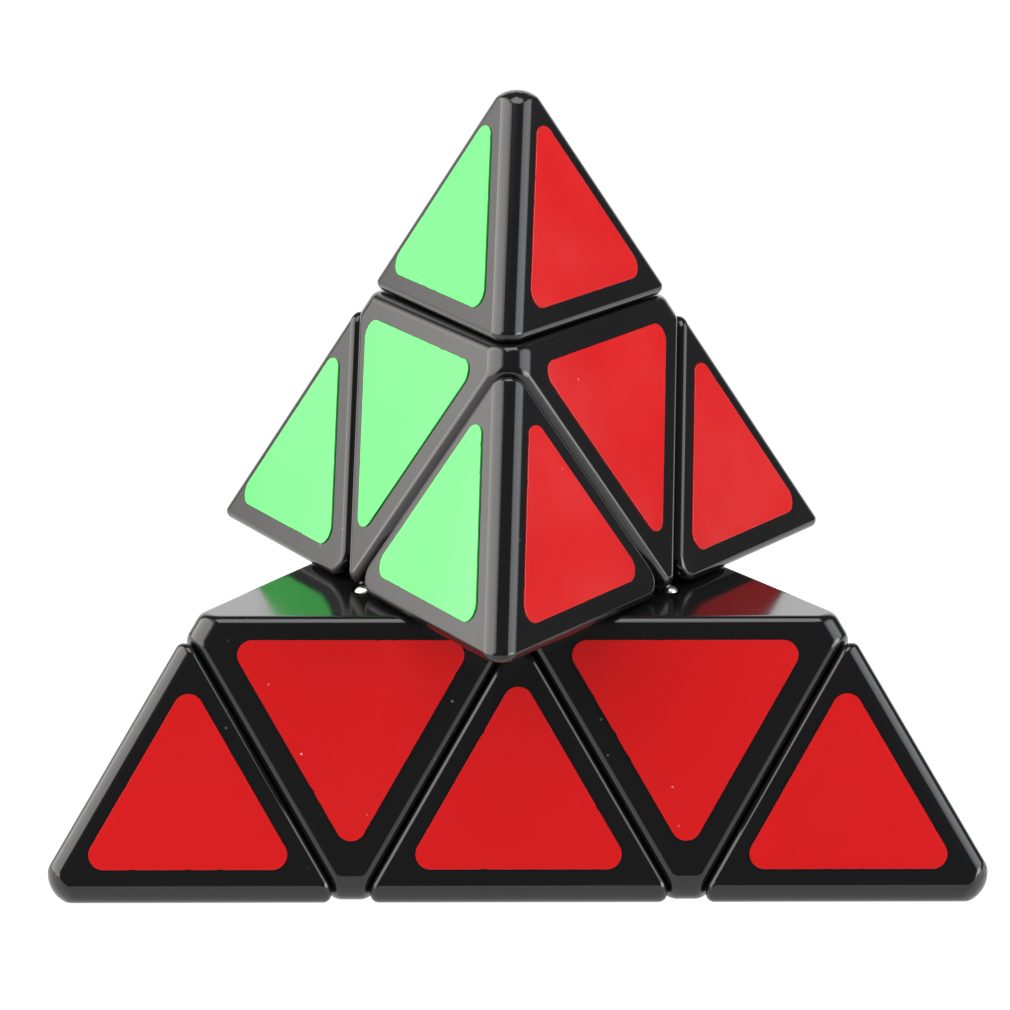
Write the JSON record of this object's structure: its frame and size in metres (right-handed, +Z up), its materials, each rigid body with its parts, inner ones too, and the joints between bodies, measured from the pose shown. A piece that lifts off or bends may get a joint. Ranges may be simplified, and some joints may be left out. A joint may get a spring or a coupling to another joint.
{
  "type": "pyramid twisty puzzle",
  "caption": "Pyramid-shaped twisty puzzle in gloss black with coloured triangle stickers, its top layer stopped part way through a turn on a sprung core.",
  "frame": {"origin": "middle of the bounding box's footprint, on the surface the base stands on; the turning axis of the top layer passes through x = 0, y = -9.37 mm", "axes": "+Z up along the top layer's turning axis, -Y out of the face that is square to the viewer, +X to that viewer's right"},
  "size_m": [0.099, 0.0944, 0.0811],
  "materials": {
    "shell_plastic": "moulded high gloss black",
    "inner_plastic": "moulded satin black",
    "core_plastic": "moulded satin off-white",
    "ball_steel": "polished bearing ball",
    "screw_steel": "zinc plated",
    "spring_steel": "bright spring wire",
    "sticker_red": "vinyl film, semi-gloss",
    "sticker_green": "vinyl film, semi-gloss",
    "sticker_yellow": "vinyl film, semi-gloss",
    "sticker_blue": "vinyl film, semi-gloss"
  },
  "bodies": {
    "core": {"core": "core_plastic", "screw_top": "screw_steel", "screw_left": "screw_steel", "screw_right": "screw_steel", "screw_rear": "screw_steel", "main_spring_top": "spring_steel", "main_spring_left": "spring_steel", "main_spring_right": "spring_steel", "main_spring_rear": "spring_steel", "edge_shell_lower_front": "shell_plastic", "edge_foot_lower_front": "inner_plastic", "edge_shell_lower_left": "shell_plastic", "edge_foot_lower_left": "inner_plastic", "edge_shell_lower_right": "shell_plastic", "edge_foot_lower_right": "inner_plastic"},
    "top_edges": {"edge_shell_upper_front": "shell_plastic", "edge_foot_upper_front": "inner_plastic", "edge_shell_upper_right": "shell_plastic", "edge_foot_upper_right": "inner_plastic", "edge_shell_upper_left": "shell_plastic", "edge_foot_upper_left": "inner_plastic"},
    "top_corner": {"corner_shell_top": "shell_plastic", "corner_hub_top": "inner_plastic", "detent_spring_top_1": "spring_steel", "detent_spring_top_2": "spring_steel", "detent_spring_top_3": "spring_steel"},
    "top_tip": {"tip_top": "shell_plastic"},
    "top_ball_1": {"detent_ball_top_1": "ball_steel"},
    "top_ball_2": {"detent_ball_top_2": "ball_steel"},
    "top_ball_3": {"detent_ball_top_3": "ball_steel"},
    "left_corner": {"corner_shell_left": "shell_plastic", "corner_hub_left": "inner_plastic", "detent_spring_left_1": "spring_steel", "detent_spring_left_2": "spring_steel", "detent_spring_left_3": "spring_steel"},
    "left_tip": {"tip_left": "shell_plastic"},
    "left_ball_1": {"detent_ball_left_1": "ball_steel"},
    "left_ball_2": {"detent_ball_left_2": "ball_steel"},
    "left_ball_3": {"detent_ball_left_3": "ball_steel"},
    "right_corner": {"corner_shell_right": "shell_plastic", "corner_hub_right": "inner_plastic", "detent_spring_right_1": "spring_steel", "detent_spring_right_2": "spring_steel", "detent_spring_right_3": "spring_steel"},
    "right_tip": {"tip_right": "shell_plastic"},
    "right_ball_1": {"detent_ball_right_1": "ball_steel"},
    "right_ball_2": {"detent_ball_right_2": "ball_steel"},
    "right_ball_3": {"detent_ball_right_3": "ball_steel"},
    "rear_corner": {"corner_shell_rear": "shell_plastic", "corner_hub_rear": "inner_plastic", "detent_spring_rear_1": "spring_steel", "detent_spring_rear_2": "spring_steel", "detent_spring_rear_3": "spring_steel"},
    "rear_tip": {"tip_rear": "shell_plastic"},
    "rear_ball_1": {"detent_ball_rear_1": "ball_steel"},
    "rear_ball_2": {"detent_ball_rear_2": "ball_steel"},
    "rear_ball_3": {"detent_ball_rear_3": "ball_steel"}
  },
  "joints": [
    {"name": "top_layer_turn", "type": "hinge", "parent": "core", "child": "top_edges", "pos_m": [0, -0.00937, 0.02164], "axis": [0, 0, 1], "continuous": true},
    {"name": "top_corner_lift", "type": "slide", "parent": "top_edges", "child": "top_corner", "axis": [0, 0, 1], "range_m": [0, 0.0005], "stiffness_N_per_m": 1500, "springref_m": -0.001, "deforming": ["main_spring_top"]},
    {"name": "top_tip_turn", "type": "hinge", "parent": "top_corner", "child": "top_tip", "pos_m": [0, -0.00937, 0.02164], "axis": [0, 0, 1], "continuous": true},
    {"name": "top_ball_1_press", "type": "slide", "parent": "top_corner", "child": "top_ball_1", "axis": [0.0576, 0.9411, 0.3333], "range_m": [0, 0.0005], "stiffness_N_per_m": 400, "springref_m": -0.0005, "deforming": ["detent_spring_top_1"]},
    {"name": "top_ball_2_press", "type": "slide", "parent": "top_corner", "child": "top_ball_2", "axis": [-0.8438, -0.4207, 0.3333], "range_m": [0, 0.0005], "stiffness_N_per_m": 400, "springref_m": -0.0005, "deforming": ["detent_spring_top_2"]},
    {"name": "top_ball_3_press", "type": "slide", "parent": "top_corner", "child": "top_ball_3", "axis": [0.7862, -0.5204, 0.3333], "range_m": [0, 0.0005], "stiffness_N_per_m": 400, "springref_m": -0.0005, "deforming": ["detent_spring_top_3"]},
    {"name": "left_corner_lift", "type": "slide", "parent": "core", "child": "left_corner", "axis": [-0.8165, -0.4714, -0.3333], "range_m": [0, 0.0005], "stiffness_N_per_m": 1500, "springref_m": -0.001, "deforming": ["main_spring_left"]},
    {"name": "left_tip_turn", "type": "hinge", "parent": "left_corner", "child": "left_tip", "pos_m": [0, -0.00937, 0.02164], "axis": [-0.8165, -0.4714, -0.3333], "continuous": true},
    {"name": "left_ball_1_press", "type": "slide", "parent": "left_corner", "child": "left_ball_1", "axis": [0, 0, -1], "range_m": [0, 0.0005], "stiffness_N_per_m": 400, "springref_m": -0.0005, "deforming": ["detent_spring_left_1"]},
    {"name": "left_ball_2_press", "type": "slide", "parent": "left_corner", "child": "left_ball_2", "axis": [0, -0.9428, 0.3333], "range_m": [0, 0.0005], "stiffness_N_per_m": 400, "springref_m": -0.0005, "deforming": ["detent_spring_left_2"]},
    {"name": "left_ball_3_press", "type": "slide", "parent": "left_corner", "child": "left_ball_3", "axis": [-0.8165, 0.4714, 0.3333], "range_m": [0, 0.0005], "stiffness_N_per_m": 400, "springref_m": -0.0005, "deforming": ["detent_spring_left_3"]},
    {"name": "right_corner_lift", "type": "slide", "parent": "core", "child": "right_corner", "axis": [0.8165, -0.4714, -0.3333], "range_m": [0, 0.0005], "stiffness_N_per_m": 1500, "springref_m": -0.001, "deforming": ["main_spring_right"]},
    {"name": "right_tip_turn", "type": "hinge", "parent": "right_corner", "child": "right_tip", "pos_m": [0, -0.00937, 0.02164], "axis": [0.8165, -0.4714, -0.3333], "continuous": true},
    {"name": "right_ball_1_press", "type": "slide", "parent": "right_corner", "child": "right_ball_1", "axis": [0, 0, -1], "range_m": [0, 0.0005], "stiffness_N_per_m": 400, "springref_m": -0.0005, "deforming": ["detent_spring_right_1"]},
    {"name": "right_ball_2_press", "type": "slide", "parent": "right_corner", "child": "right_ball_2", "axis": [0.8165, 0.4714, 0.3333], "range_m": [0, 0.0005], "stiffness_N_per_m": 400, "springref_m": -0.0005, "deforming": ["detent_spring_right_2"]},
    {"name": "right_ball_3_press", "type": "slide", "parent": "right_corner", "child": "right_ball_3", "axis": [0, -0.9428, 0.3333], "range_m": [0, 0.0005], "stiffness_N_per_m": 400, "springref_m": -0.0005, "deforming": ["detent_spring_right_3"]},
    {"name": "rear_corner_lift", "type": "slide", "parent": "core", "child": "rear_corner", "axis": [0, 0.9428, -0.3333], "range_m": [0, 0.0005], "stiffness_N_per_m": 1500, "springref_m": -0.001, "deforming": ["main_spring_rear"]},
    {"name": "rear_tip_turn", "type": "hinge", "parent": "rear_corner", "child": "rear_tip", "pos_m": [0, -0.00937, 0.02164], "axis": [0, 0.9428, -0.3333], "continuous": true},
    {"name": "rear_ball_1_press", "type": "slide", "parent": "rear_corner", "child": "rear_ball_1", "axis": [0, 0, -1], "range_m": [0, 0.0005], "stiffness_N_per_m": 400, "springref_m": -0.0005, "deforming": ["detent_spring_rear_1"]},
    {"name": "rear_ball_2_press", "type": "slide", "parent": "rear_corner", "child": "rear_ball_2", "axis": [-0.8165, 0.4714, 0.3333], "range_m": [0, 0.0005], "stiffness_N_per_m": 400, "springref_m": -0.0005, "deforming": ["detent_spring_rear_2"]},
    {"name": "rear_ball_3_press", "type": "slide", "parent": "rear_corner", "child": "rear_ball_3", "axis": [0.8165, 0.4714, 0.3333], "range_m": [0, 0.0005], "stiffness_N_per_m": 400, "springref_m": -0.0005, "deforming": ["detent_spring_rear_3"]}
  ]
}
